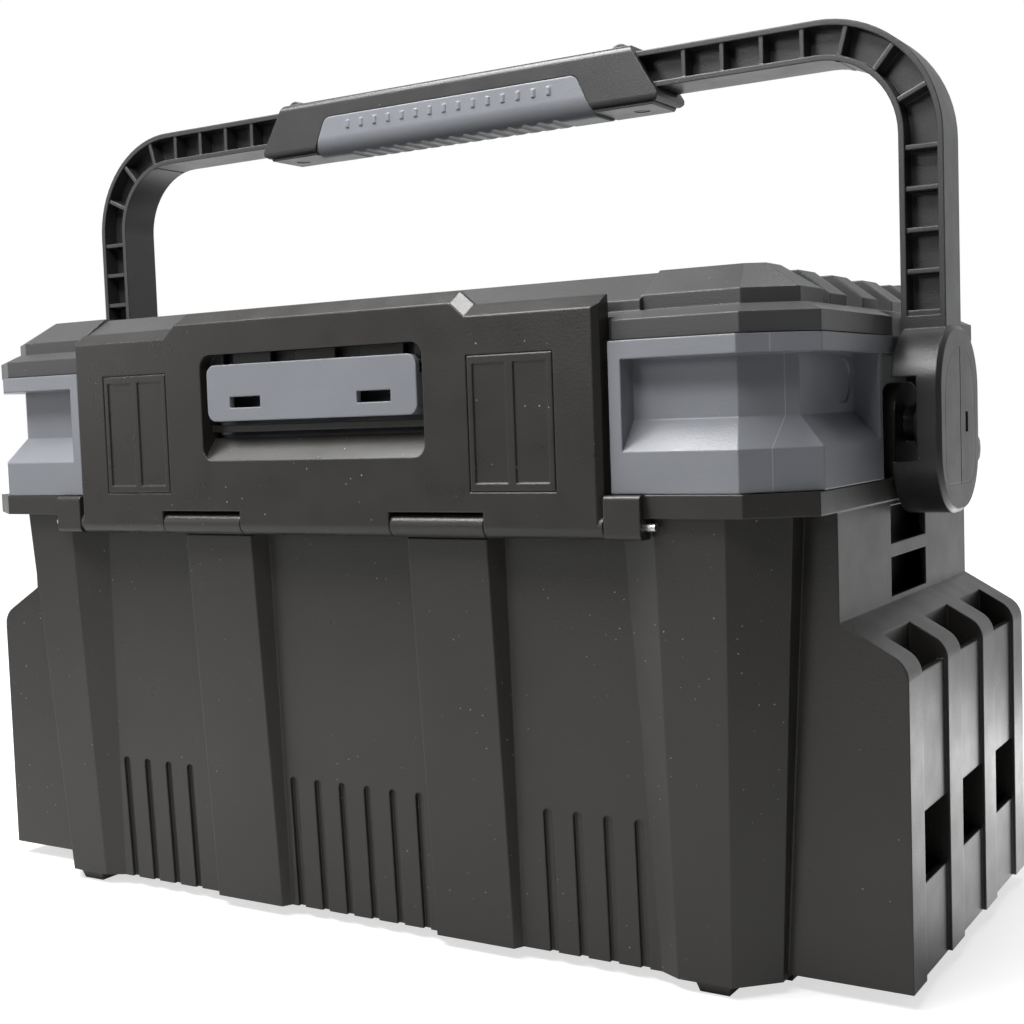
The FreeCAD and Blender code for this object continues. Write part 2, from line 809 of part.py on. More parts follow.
def barrel_row(name, axis_high, root_y, reach, places):
    """Hinge barrels that stand between the knuckles of the other half."""
    row = new_body(name)
    prism(row, name + "_row", "YZ", f"-{reach}", reach, [
        ("half_deep", f"{axis_high} - rear_barrel", "rear_barrel - 0.1"),
        (root_y, f"{axis_high} - rear_barrel"),
        (root_y, f"{axis_high} + rear_barrel"),
        ("half_deep", f"{axis_high} + rear_barrel", "rear_barrel - 0.1")])
    prism(row, name + "_gaps", "XY", f"{axis_high} - 20", f"{axis_high} + 20",
          *[box(f"{place} * knuckle_pitch - knuckle_pitch / 2 - 0.2", "0",
                f"{place} * knuckle_pitch + knuckle_pitch / 2 + 0.2", "half_deep + 1")
            for place in places], cut=True)
    rod(row, name + "_bore", "YZ", f"-{reach} - 1", f"{reach} + 1",
        [(rear_axis, axis_high, "rear_pin_radius + running_gap")], cut=True)
    return row


tray_barrels = barrel_row("tray_barrels", "tray_pin_high", "tray_edge - wall",
                          "rear_row_end", (-4, -2, 0, 2, 4))
lid_knuckles = new_body("lid_knuckles")
prism(lid_knuckles, "lid_knuckle_row", "YZ", "-4.5 * knuckle_pitch",
      "4.5 * knuckle_pitch", [
          ("half_deep", "tray_high - 3"),
          ("half_deep", "lid_pin_high + rear_barrel", "rear_barrel - 0.1"),
          (f"{rear_axis} - rear_barrel", "lid_pin_high + rear_barrel",
           "rear_barrel - 0.1"),
          (f"{rear_axis} - rear_barrel", "tray_high - 3")])
prism(lid_knuckles, "lid_knuckle_gaps", "XY", "tray_high - 3",
      "lid_pin_high + rear_barrel", *knuckle_spans(-3, 4), cut=True)
rod(lid_knuckles, "lid_knuckle_bore", "YZ", "-lid_pin_half", "lid_pin_half",
    [(rear_axis, "lid_pin_high", "rear_pin_radius")], cut=True)
finish(joined("mid_tray", [tray, tray_barrels, lid_knuckles]))

# loose dividers across the middle tray
for name, side in (("tray_divider_left", "-"), ("tray_divider_right", "")):
    divider = new_body(name)
    prism(divider, name + "_plate", "YZ",
          f"{side}divider_out - divider_thick / 2",
          f"{side}divider_out + divider_thick / 2", [
              ("body_gap - tray_front + " + inner, "tray_floor"),
              ("tray_front - body_gap - " + inner, "tray_floor"),
              ("tray_front - body_gap - " + inner, "tray_high - 6", "4"),
              ("body_gap - tray_front + " + inner, "tray_high - 6", "4")])
    finish(divider)

# lift-out tray on the ledges inside the bin
lift = new_body("lift_out_tray")
lift_top = "ledge_high + lift_high"
prism(lift, "lift_block", "XY", "ledge_high + 0.2", lift_top,
      [(x, y, "12") for x, y in box("-lift_half_long", "-lift_half_deep",
                                    "lift_half_long", "lift_half_deep")])
cell_edges = [("lift_skin - lift_half_long", "-lift_third - lift_skin / 2"),
              ("lift_skin / 2 - lift_third", "lift_third - lift_skin / 2"),
              ("lift_third + lift_skin / 2", "lift_half_long - lift_skin")]
prism(lift, "lift_cells", "XY", "ledge_high + lift_skin", f"{lift_top} + 1",
      *[[(x, y, "5") for x, y in box(low, "lift_skin - lift_half_deep",
                                     high, "lift_half_deep - lift_skin")]
        for low, high in cell_edges], cut=True)
finish(lift)

# lid: a band with a bevel up to a ledge, a raised middle, a block on each corner and
# ribs at the ends between the blocks
lid = new_body("lid_shell")


def lid_outline(inset):
    return eight_sided("tray_side", "lid_front", "tray_corner", "lid_edge", inset)


lid_low = "tray_high + body_gap"
prism(lid, "lid_band", "XY", lid_low, "lid_band_high", lid_outline("0"))
loft(lid, "lid_bevel", "XY", "lid_band_high", "lid_ledge_high",
     lid_outline("0"), lid_outline("lid_ledge_inset"))
foot_x = "(lid_block_start + 0.5)"
foot_y = "(lid_front - lid_ledge_inset - 0.4)"
top_y = "(lid_front - lid_middle_inset)"
middle_foot = box(f"-{foot_x}", f"-{foot_y}", foot_x, foot_y)
prism(lid, "lid_middle_band", "XY", "lid_ledge_high - 1", "lid_middle_low", middle_foot)
loft(lid, "lid_middle", "XY", "lid_middle_low", "lid_middle_top", middle_foot,
     box(f"-{foot_x}", f"-{top_y}", foot_x, top_y))
prism(lid, "lid_inside", "XY", "tray_high", "lid_band_high",
      lid_outline(inner), cut=True)
loft(lid, "lid_dome", "XY", "lid_band_high", "lid_middle_top - lid_roof",
     box(f"2 * wall - {foot_x}", f"2 * wall - {foot_y}",
         f"{foot_x} - 2 * wall", f"{foot_y} - 2 * wall"),
     box(f"2 * wall - {foot_x}", f"wall - {top_y}",
         f"{foot_x} - 2 * wall", f"{top_y} - wall"), cut=True)
lid_end = new_body("lid_end")
block_out = "(lid_ledge_inset + 2.4)"


def block_section(lean, inset):
    """One corner block from above; its outer corner follows the lid's own."""
    angle = "atan((lid_front - lid_edge) / (tray_side - tray_corner))"
    near_front = f"tray_corner - ({inset}) * tan({angle} / 2)"
    near_side = f"lid_edge - ({inset}) * tan((90 deg - {angle}) / 2)"
    return [
        (f"lid_block_start + {lean}", f"-lid_block_back - {lean}"),
        (f"tray_side - ({inset})", f"-lid_block_back - {lean}"),
        (f"tray_side - ({inset})", flip(near_side)),
        (near_front, f"({inset}) - lid_front"),
        (f"lid_block_start + {lean}", f"({inset}) - lid_front")]


block_foot = block_section("0", block_out)
block_rise = [prism(lid_end, "block_foot", "XY", "lid_ledge_high - 1",
                    "lid_block_high", block_foot),
              loft(lid_end, "block_slope", "XY", "lid_block_high", "lid_block_top",
                   block_foot, block_section("lid_block_lean", "lid_block_inset"))]
mirrored(lid_end, "rear_block", block_rise, "XZ_Plane")
for place in (-1.5, -0.5, 0.5, 1.5):
    prism(lid_end, f"end_rib_{int(place * 2 + 4)}", "XZ",
          f"{place} * lid_rib_pitch - lid_rib_wide / 2",
          f"{place} * lid_rib_pitch + lid_rib_wide / 2", [
              ("lid_block_start", "lid_ledge_high - 1"),
              ("lid_rib_reach", "lid_ledge_high - 1"),
              ("lid_rib_reach", "lid_rib_foot"),
              ("lid_rib_shoulder", "lid_rib_top"),
              ("lid_block_start", "lid_rib_top")])
lid_cuts = new_body("lid_cuts")
prism(lid_cuts, "lid_front_bay", "XY", "tray_high", "lid_block_top",
      box("-mouth_half", "-tray_front", "mouth_half", "-mouth_back"))
prism(lid_cuts, "lid_rear_bay", "XY", "tray_high", "lid_ledge_high + 1",
      box("-rear_bay_half", "rear_back", "rear_bay_half", "tray_front"))
prism(lid_cuts, "hub_bays", "XY", "tray_high", "lid_ledge_high + 1",
      *both(box("lid_bay_side", "-lid_bay_half", "tray_side + 1", "lid_bay_half")))
lid_barrels = barrel_row("lid_barrels", "lid_pin_high", "rear_back - wall",
                         "3.5 * knuckle_pitch", (-4, -2, 0, 2, 4))
lid_outside = joined("lid_outside", [lid, lid_end, other_side(lid_end, "lid_left_end")])
finish(joined("lid", [carved("lid_carved", lid_outside, lid_cuts), lid_barrels]))

# flap: a panel with a raised middle and a bevelled top, ribs behind, a window for the
# latch with a sloped finger scoop, two engraved panels and its hinge barrels
flap = new_body("flap_panel")
flap_face = "-half_deep"
flap_back = "flap_deep - half_deep"
bevel_back = "flap_bevel_run - half_deep"


def flap_front(rise, inset="0"):
    half = f"flap_half - {inset}"
    return [
        (half, "flap_pin_high"),
        (half, f"flap_side_high + {rise}"),
        ("flap_step_outer", f"flap_side_high + {rise}"),
        ("flap_step_inner", f"flap_middle_high + {rise}"),
        ("-flap_step_inner", f"flap_middle_high + {rise}"),
        ("-flap_step_outer", f"flap_side_high + {rise}"),
        (flip(half), f"flap_side_high + {rise}"),
        (flip(half), "flap_pin_high")]


edge_rise = "flap_edge * flap_bevel_rise / flap_bevel_run"
loft(flap, "flap_edges", "XZ", flap_face, "flap_edge - half_deep",
     flap_front("0", "flap_edge"), flap_front(edge_rise))
loft(flap, "flap_bevelled", "XZ", "flap_edge - half_deep", bevel_back,
     flap_front(edge_rise), flap_front("flap_bevel_rise"))
prism(flap, "flap_rear", "XZ", bevel_back, flap_back, flap_front("flap_bevel_rise"))
rod(flap, "flap_foot", "YZ", "-flap_half", "flap_half",
    [(flap_axis, "flap_pin_high", "flap_pin_in")])
rib_cells = [box(f"window_half + 4 + {n} * flap_rib_pitch", "rim_high",
                 f"window_half + 2 + {n + 1} * flap_rib_pitch", "flap_side_high - 3")
             for n in range(4)]
prism(flap, "rib_cells", "XZ", "flap_skin - half_deep", "0",
      *[loop for corners in rib_cells for loop in both(corners)], cut=True)
window = [(x, z, "window_round") for x, z in box(
    "-window_half", "latch_window_low", "window_half", "latch_window_high")]
prism(flap, "latch_window", "XZ", "-half_deep - 1", "0", window, cut=True)
prism(flap, "scoop", "YZ", "-window_half - 0.5", "window_half + 0.5", [
    (flap_face, "latch_window_low - 1"),
    (flap_back, "latch_window_low - 1"),
    (flap_back, "scoop_high"),
    (f"{flap_back} - 1.2", "scoop_high"),
    (flap_face, "latch_window_low")])
prism(flap, "scoop_bar", "YZ", "-window_half - 0.5", "window_half + 0.5",
      box(f"{flap_back} - 2.8", "scoop_bar_low", flap_back, "scoop_bar_high"))
latch_axis = "-latch_pin_face"
eye_spans = [(f"{centre} - latch_lug_wide / 2", f"{centre} + latch_lug_wide / 2")
             for centre in ("-latch_lug_pitch", "0", "latch_lug_pitch")]
eye_spans += [("spring_out + spring_long / 2 + latch_lug_room", "window_half + 0.5"),
              ("-window_half - 0.5", "-spring_out - spring_long / 2 - latch_lug_room")]
for number, (low, high) in enumerate(eye_spans):
    rod(flap, f"latch_eye_{number}", "YZ", low, high,
        [(latch_axis, "latch_pin_high", "latch_eye")])
    prism(flap, f"latch_eye_web_{number}", "YZ", low, high,
          box(f"{latch_axis} - latch_web", "latch_pin_high",
              flap_back, "latch_window_high + 1"))
prism(flap, "knuckle_gaps", "XY", "bracket_low - 1", "flap_pin_high + flap_pin_in + 0.7",
      *both(box("knuckle_inner - 0.4", "-half_deep - 1", "knuckle_outer + 0.4", "0")),
      cut=True)
engraved = [
    box("panel_inner", "panel_low", "panel_outer", "panel_high"),
    box("panel_inner + 0.5", "panel_low + 0.5", "panel_outer - 0.5", "panel_high - 0.5"),
    box("panel_inner + panel_frame", "panel_low + panel_frame + 0.6",
        "panel_inner + panel_frame + panel_pane",
        "panel_high - panel_frame - 0.6"),
    box("panel_outer - panel_frame - panel_pane", "panel_low + panel_frame + 0.6",
        "panel_outer - panel_frame", "panel_high - panel_frame - 0.6")]
prism(flap, "engraved_panels", "XZ", flap_face, "engrave - half_deep",
      *[loop for corners in engraved for loop in both(corners)], cut=True)
rod(flap, "flap_bore", "YZ", "-flap_half - 1", "flap_half + 1",
    [(flap_axis, "flap_pin_high", "flap_pin_radius + running_gap")], cut=True)
rod(flap, "latch_bore", "YZ", "-latch_pin_half", "latch_pin_half",
    [(latch_axis, "latch_pin_high", "latch_pin_radius")], cut=True)
flap.Label = "front_flap"
finish(flap)

# latch: a dished plate hung from two lugs behind it, with two slots and two hooks
latch = new_body("latch_handle")
latch_back = "latch_deep - latch_face"
prism(latch, "latch_plate", "XZ", "-latch_face", latch_back,
      [(x, z, "latch_round") for x, z in box(
          "-latch_half", "latch_low", "latch_half", "latch_high")])
prism(latch, "latch_dish", "XZ", "latch_skin - latch_face", "0",
      [(x, z, "2") for x, z in box(
          "latch_skin - latch_half", "latch_low + latch_skin",
          "latch_half - latch_skin", "latch_high - latch_skin")], cut=True)
prism(latch, "latch_top_rim", "XZ", "latch_skin - latch_face", "0",
      box("-latch_half - 1", "latch_rim_top", "latch_half + 1", "latch_high + 1"),
      cut=True)
prism(latch, "latch_slots", "XZ", "-half_deep", "0",
      *both(box("latch_slot_centre - latch_slot_wide / 2", "latch_slot_low",
                "latch_slot_centre + latch_slot_wide / 2",
                "latch_slot_low + latch_slot_high")), cut=True)
lug_in = "latch_lug_wide / 2 + latch_lug_room"
lug_out = "latch_lug_pitch - latch_lug_wide / 2 - latch_lug_room"
for name, low, high in (("right", lug_in, lug_out), ("left", flip(lug_out), flip(lug_in))):
    prism(latch, f"latch_lug_{name}", "YZ", low, high, [
        ("latch_skin - latch_face - 0.5", "latch_pin_high - latch_barrel"),
        (f"{latch_axis} + latch_barrel", "latch_pin_high - latch_barrel",
         "latch_barrel - 0.1"),
        (f"{latch_axis} + latch_barrel", "latch_pin_high + latch_barrel",
         "latch_barrel - 0.1"),
        ("latch_skin - latch_face - 0.5", "latch_pin_high + latch_barrel")])
prism(latch, "hooks", "XZ", "latch_skin - latch_face - 1", "-mouth_back - 0.4",
      *both(box("hook_out - hook_wide / 2", "hook_low",
                "hook_out + hook_wide / 2", "hook_high")))
rod(latch, "latch_lug_bore", "YZ", "-latch_pin_half", "latch_pin_half",
    [(latch_axis, "latch_pin_high", "latch_pin_radius + running_gap")], cut=True)
finish(latch)

latch_pin = new_body("latch_pin")
rod(latch_pin, "latch_pin_rod", "YZ", "-latch_pin_half", "latch_pin_half",
    [(latch_axis, "latch_pin_high", "latch_pin_radius")])
finish(latch_pin)

# springs that close the latch: closed coils on its pin, drawn as plain sleeves
for name, side in (("latch_spring_left", "-"), ("latch_spring_right", "")):
    spring = new_body(name)
    centre = f"{side}spring_out"
    rod(spring, name + "_coil", "YZ", f"{centre} - spring_long / 2",
        f"{centre} + spring_long / 2", [(latch_axis, "latch_pin_high", "spring_radius")])
    rod(spring, name + "_bore", "YZ", f"{centre} - spring_long / 2",
        f"{centre} + spring_long / 2",
        [(latch_axis, "latch_pin_high", "latch_pin_radius")], cut=True)
    finish(spring)

# handle: a U of channel section with cross ribs on two oval hubs
bail = new_body("bail_frame")


def bail_loop(inset, low):
    """The U seen from the front, drawn in from both of its edges."""
    outer = f"bail_outer - {inset}"
    inner_edge = f"bail_inner + {inset}"
    turn = "(bail_round - bail_outer + bail_inner)"
    return [
        (outer, low),
        (outer, f"bail_top - {inset}", f"bail_round - {inset}"),
        (flip(outer), f"bail_top - {inset}", f"bail_round - {inset}"),
        (flip(outer), low),
        (flip(inner_edge), low),
        (flip(inner_edge), f"bail_under + {inset}", f"{turn} + {inset}"),
        (inner_edge, f"bail_under + {inset}", f"{turn} + {inset}"),
        (inner_edge, low)]


leg_low = "hub_high - 8"
prism(bail, "bail_bar", "XZ", "-bail_half", "bail_half", bail_loop("0", leg_low))
channel = bail_loop("bail_lip", "hub_high + 4")
prism(bail, "front_channel", "XZ", "-bail_half - 1", "-bail_web / 2", channel, cut=True)
prism(bail, "rear_channel", "XZ", "bail_web / 2", "bail_half + 1", channel, cut=True)
ribs = [box("bail_inner + 1", f"rib_first - {n} * rib_pitch - rib_thick / 2",
            "bail_outer - 1", f"rib_first - {n} * rib_pitch + rib_thick / 2")
        for n in range(5)]
ribs += [box(f"rib_top_first - {n} * rib_top_pitch - rib_thick / 2", "bail_under + 1",
             f"rib_top_first - {n} * rib_top_pitch + rib_thick / 2", "bail_top - 1")
         for n in range(4)]
for n in range(3):
    turn = f"(rib_turn_first + {n} * rib_turn) * 1 deg"
    near = "(bail_round - bail_outer + bail_inner + 1)"
    far = "(bail_round - 1)"
    ribs.append([
        (f"bail_outer - bail_round + {reach} * cos({turn}) {x_sign} rib_thick / 2"
         f" * sin({turn})",
         f"bail_top - bail_round + {reach} * sin({turn}) {z_sign} rib_thick / 2"
         f" * cos({turn})")
        for reach, x_sign, z_sign in ((near, "+", "-"), (far, "+", "-"),
                                      (far, "-", "+"), (near, "-", "+"))])
right_ribs = prism(bail, "right_ribs", "XZ", "0.5 - bail_half", "bail_half - 0.5", *ribs)
mirrored(bail, "left_ribs", [right_ribs])
rod(bail, "grip_screw_holes", "XY", "bail_under - 1", "grip_screw_top",
    [(f"{side}grip_screw_out", "0", "grip_shank_radius") for side in ("-", "")],
    cut=True)
hub = new_body("bail_hub")


def hub_oval(inset):
    """The hub seen along X, an upright oval."""
    turn = f"hub_turn - {inset}"
    return [
        (f"{inset} - hub_half", f"hub_low + {inset}", turn),
        (f"hub_half - {inset}", f"hub_low + {inset}", turn),
        (f"hub_half - {inset}", f"hub_high - {inset}", turn),
        (f"{inset} - hub_half", f"hub_high - {inset}", turn)]


def cap_oval(gap):
    """The hub cap seen along X, round above and flat below."""
    return [
        (f"-cap_half - {gap}", f"cap_low - {gap}", "cap_turn_low"),
        (f"cap_half + {gap}", f"cap_low - {gap}", "cap_turn_low"),
        (f"cap_half + {gap}", f"cap_high + {gap}", "cap_turn"),
        (f"-cap_half - {gap}", f"cap_high + {gap}", "cap_turn")]


prism(hub, "hub_block", "YZ", "hub_inner", "hub_outer - hub_round", hub_oval("0"))
loft(hub, "hub_face", "YZ", "hub_outer - hub_round", "hub_outer",
     hub_oval("0"), hub_oval("hub_round"))
prism(hub, "hub_hollow", "YZ", "hub_inner", "hub_outer - hub_plate",
      hub_oval("hub_skirt"), cut=True)
rod(hub, "hub_boss", "YZ", "hub_boss_inner", "hub_outer - hub_plate + 1",
    [("0", "pivot_high", "hub_boss")])
prism(hub, "hub_notch", "XZ", "-hub_half - 1", "-hub_half / 2",
      box("hub_inner - 1", "hub_notch_low", "hub_notch_outer", "hub_notch_high"),
      cut=True)
prism(hub, "cap_seat", "YZ", "hub_outer - cap_seat", "hub_outer", cap_oval("seat_gap"),
      cut=True)
rod(hub, "axle_bore", "YZ", "hub_inner", "hub_outer",
    [("0", "pivot_high", "axle_radius + running_gap")], cut=True)
rod(hub, "head_room", "YZ", "axle_end - body_gap", "hub_outer",
    [("0", "pivot_high", "head_room")], cut=True)
finish(joined("handle_bail", [bail, hub, other_side(hub, "left_hub")]))

# hub caps: plates let into the hubs, with a seam across and a small slot
for name, mirror in (("hub_cap_right", False), ("hub_cap_left", True)):
    cap = new_body(name + "_plate" if mirror else name)
    prism(cap, name + "_oval", "YZ", "hub_outer - cap_seat",
          "hub_outer - cap_seat + cap_thick", cap_oval("0"))
    prism(cap, name + "_slot", "YZ", "hub_outer - cap_seat + 0.8", "half_wide + 1",
          box("cap_slot_out - cap_slot_wide / 2", "pivot_high - cap_slot_high / 2",
              "cap_slot_out + cap_slot_wide / 2", "pivot_high + cap_slot_high / 2"),
          cut=True)
    prism(cap, name + "_seam", "YZ", "hub_outer - cap_seat + cap_thick - 0.5",
          "half_wide + 1", box("-0.3", "cap_low - 1", "0.3", "cap_high + 1"), cut=True)
    finish(other_side(cap, name) if mirror else cap)

# pivot screws and washers that hold the hubs on the axles of the bin
for name, mirror in (("right", False), ("left", True)):
    washer = new_body("washer_blank" if mirror else "pivot_washer_right")
    rod(washer, "washer_disc_" + name, "YZ", "axle_end", "axle_end + washer_thick",
        [("0", "pivot_high", "washer_radius")])
    rod(washer, "washer_bore_" + name, "YZ", "axle_end", "axle_end + washer_thick",
        [("0", "pivot_high", "pivot_screw_radius")], cut=True)
    finish(other_side(washer, "pivot_washer_left") if mirror else washer)
    screw = new_body("screw_blank" if mirror else "pivot_screw_right")
    rod(screw, "screw_shank_" + name, "YZ", "axle_end - pivot_screw_deep",
        "axle_end + washer_thick + 0.5", [("0", "pivot_high", "pivot_screw_radius")])
    rod(screw, "screw_head_" + name, "YZ", "axle_end + washer_thick",
        "axle_end + washer_thick + pivot_head_thick",
        [("0", "pivot_high", "pivot_head_radius")])
    finish(other_side(screw, "pivot_screw_left") if mirror else screw)

# grip: a cover over the bar, a rippled insert round its middle and a lower shell
def round_edges(body, name, low, high, corners):
    """Round edges that run along X; a corner is (side of Y, y, z, away, radius)."""
    loops = []
    for side, y, z, away, radius in corners:
        far = f"({z}) {away} 1"
        inside = "+" if away == "-" else "-"
        loops.append([
            (f"{side}(({y}) + 1)", far),
            (f"{side}(({y}) - ({radius}) - 1)", far),
            (f"{side}(({y}) - ({radius}) - 1)", z),
            (f"{side}({y})", z, radius),
            (f"{side}({y})", f"({z}) {inside} (({radius}) + 1)"),
            (f"{side}(({y}) + 1)", f"({z}) {inside} (({radius}) + 1)")])
    prism(body, name, "YZ", low, high, *loops, cut=True)


cover = new_body("grip_cover")
prism(cover, "cover_block", "XZ", "-grip_deep", "grip_deep", [
    ("grip_chamfer - grip_half", "grip_cover_low"),
    ("grip_half - grip_chamfer", "grip_cover_low"),
    ("grip_half", "grip_cover_low + grip_chamfer"),
    ("grip_half", "grip_end_high"),
    ("grip_top_half", "grip_top"),
    ("-grip_top_half", "grip_top"),
    ("-grip_half", "grip_end_high"),
    ("-grip_half", "grip_cover_low + grip_chamfer")])
round_edges(cover, "cover_rounds", "-grip_half", "grip_half", [
    (side, "grip_deep", z, away, radius) for side in ("-", "")
    for z, away, radius in (("grip_top", "+", "grip_top_round"),
                            ("grip_cover_low", "-", "grip_low_round"))])
rod(cover, "cover_bumps", "XZ", "grip_top_round - grip_deep",
    "grip_deep - grip_top_round",
    [(f"{side}grip_bump_out", "grip_top + grip_bump_rise - grip_bump_radius",
      "grip_bump_radius") for side in ("-", "")])


def insert_front(gap, low):
    """The insert seen from the front, its upper corners rounded."""
    return [
        (f"-insert_half - {gap}", low),
        (f"insert_half + {gap}", low),
        (f"insert_half + {gap}", "grip_cover_low"),
        (f"insert_top_half + {gap}", f"insert_top + {gap}", "insert_corner"),
        (f"-insert_top_half - {gap}", f"insert_top + {gap}", "insert_corner"),
        (f"-insert_half - {gap}", "grip_cover_low")]


prism(cover, "insert_window", "XZ", "-grip_deep - 1", "grip_deep + 1",
      insert_front("body_gap / 2", "grip_cover_low - 1"), cut=True)
bar_room = box("-bail_half - seat_gap", "bail_under - seat_gap",
               "bail_half + seat_gap", "bail_top + seat_gap")
prism(cover, "cover_bar_room", "YZ", "-grip_half - 1", "grip_half + 1", bar_room,
      cut=True)
prism(cover, "cover_strip_room", "YZ", "-strip_end - seat_gap", "strip_end + seat_gap",
      box("-strip_half - seat_gap", "grip_cover_low - 1",
          "strip_half + seat_gap", "bail_under"), cut=True)
prism(cover, "cover_riser_room", "YZ", "-riser_end - seat_gap", "riser_end + seat_gap",
      box("-strip_half - seat_gap", "grip_cover_low - 1",
          "strip_half + seat_gap", "riser_top + seat_gap"), cut=True)
rod(cover, "screw_holes", "XY", "riser_top", "bail_under - seat_gap",
    [(f"{side}grip_screw_out", "0", "grip_shank_radius") for side in ("-", "")],
    cut=True)
finish(cover)

insert = new_body("grip_insert")
prism(insert, "insert_block", "XZ", "-grip_deep", "grip_deep", insert_front("0", "insert_low"))
round_edges(insert, "insert_rounds", "-insert_half", "insert_half", [
    (side, "grip_deep", "insert_low", "-", "insert_round") for side in ("-", "")])
prism(insert, "insert_bar_room", "YZ", "-insert_half - 1", "insert_half + 1",
      bar_room, cut=True)
prism(insert, "strip_room", "YZ", "-insert_half - 1", "insert_half + 1",
      box("-strip_half - seat_gap", "grip_cover_low - seat_gap",
          "strip_half + seat_gap", "bail_under"), cut=True)
ripples = [f"{n} * ripple_pitch" for n in range(-7, 8)]
rod(insert, "ripples", "XY", "ripple_low", "ripple_high",
    [(x, f"{side}(grip_deep + ripple_deep - ripple_radius)", "ripple_radius")
     for x in ripples for side in ("-", "")])
rod(insert, "scallops", "XZ", "-grip_deep", "grip_deep",
    [(x, "insert_low + scallop_deep - scallop_radius", "scallop_radius")
     for x in ripples], cut=True)
finish(insert)

lower = new_body("grip_lower")
lower_top = "grip_cover_low - seat_gap"
lower_deep = "(grip_deep - grip_low_round + seat_gap)"
prism(lower, "lower_ends", "XZ", flip(lower_deep), lower_deep,
      *both([("insert_half + body_gap", "lower_low"),
             ("lower_half - 0.8", "lower_low"),
             ("lower_half", lower_top),
             ("insert_half + body_gap", lower_top)]))
prism(lower, "lower_strip", "YZ", "-strip_end", "strip_end",
      box("-strip_half", "grip_cover_low", "strip_half", "bail_under - 2 * seat_gap"))
prism(lower, "lower_risers", "XY", "grip_cover_low - 1", "riser_top",
      *both(box("insert_half + body_gap", "-strip_half", "riser_end", "strip_half")))
rod(lower, "lower_holes", "XY", "lower_low - 1", "riser_top + 1",
    [(f"{side}grip_screw_out", "0", "grip_shank_radius") for side in ("-", "")],
    cut=True)
rod(lower, "head_holes", "XY", "lower_low - 1", "lower_low + grip_head_deep",
    [(f"{side}grip_screw_out", "0", "grip_screw_radius + seat_gap")
     for side in ("-", "")], cut=True)
finish(lower)

for name, side in (("grip_screw_left", "-"), ("grip_screw_right", "")):
    screw = new_body(name)
    rod(screw, name + "_shank", "XY", "lower_low + 0.2", "grip_screw_top",
        [(f"{side}grip_screw_out", "0", "grip_shank_radius")])
    rod(screw, name + "_head", "XY", "lower_low + 0.2", "lower_low + grip_head_deep",
        [(f"{side}grip_screw_out", "0", "grip_screw_radius")])
    finish(screw)

doc.recompute()
for item in doc.Objects:
    if "Invalid" in item.State or "Error" in item.State:
        raise RuntimeError(f"{item.Label} did not build: {item.State}")
os.makedirs("parts", exist_ok=True)
for item in sub_parts:
    shape = item.Shape
    if shape.isNull() or not shape.isValid():
        raise RuntimeError(f"{item.Label} has no valid shape")
    shape.exportStep(f"parts/{item.Label}.step")
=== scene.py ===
import bpy
import json
import math
from mathutils import Matrix, Vector


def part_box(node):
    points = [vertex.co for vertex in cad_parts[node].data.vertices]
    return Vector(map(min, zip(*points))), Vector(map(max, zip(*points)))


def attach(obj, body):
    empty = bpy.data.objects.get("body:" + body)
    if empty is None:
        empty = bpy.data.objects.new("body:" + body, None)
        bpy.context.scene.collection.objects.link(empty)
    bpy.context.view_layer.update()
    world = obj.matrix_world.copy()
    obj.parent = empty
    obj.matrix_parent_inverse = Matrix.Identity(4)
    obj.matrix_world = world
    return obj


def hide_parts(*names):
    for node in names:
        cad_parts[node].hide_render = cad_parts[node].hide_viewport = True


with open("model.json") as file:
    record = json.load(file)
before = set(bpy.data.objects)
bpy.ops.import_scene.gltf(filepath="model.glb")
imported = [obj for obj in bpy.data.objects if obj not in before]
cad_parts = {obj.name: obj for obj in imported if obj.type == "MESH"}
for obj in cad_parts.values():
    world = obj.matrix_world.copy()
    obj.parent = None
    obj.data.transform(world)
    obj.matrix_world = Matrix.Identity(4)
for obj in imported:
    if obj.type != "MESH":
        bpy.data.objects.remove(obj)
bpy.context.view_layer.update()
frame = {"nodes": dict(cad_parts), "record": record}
nodes = frame["nodes"]
collection = bpy.context.scene.collection

# Camera: three-quarter view from the front right and a little above the rim, slightly
# rolled, with a normal lens about 0.7 m from the middle of the box.
MM = 0.001
YAW, PITCH, ROLL = (math.radians(angle) for angle in (32.196, -3.873, -2.081))
CAMERA_PLACE = (362.08, -570.92, 204.70)
FRAME_PX = 1024
FOCAL_PX = 1518.28
CENTRE_PX = (479.90, 514.77)
SENSOR_WIDE = 36.0
forward = Vector((-math.sin(YAW) * math.cos(PITCH), math.cos(YAW) * math.cos(PITCH),
                  math.sin(PITCH)))
level = Vector((math.cos(YAW), math.sin(YAW), 0))
above = level.cross(forward)
across = math.cos(ROLL) * level + math.sin(ROLL) * above
upward = -math.sin(ROLL) * level + math.cos(ROLL) * above
camera_data = bpy.data.cameras.new("camera")
camera_data.sensor_width = SENSOR_WIDE
camera_data.lens = FOCAL_PX * SENSOR_WIDE / FRAME_PX
camera_data.shift_x = (FRAME_PX / 2 - CENTRE_PX[0]) / FRAME_PX
camera_data.shift_y = (CENTRE_PX[1] - FRAME_PX / 2) / FRAME_PX
camera_data.clip_end = 20.0
camera = bpy.data.objects.new("camera", camera_data)
turn = Matrix((across, upward, -forward)).transposed().to_4x4()
camera.matrix_world = Matrix.Translation(Vector(CAMERA_PLACE) * MM) @ turn
collection.objects.link(camera)
bpy.context.scene.camera = camera
bpy.context.scene.view_settings.view_transform = "Standard"


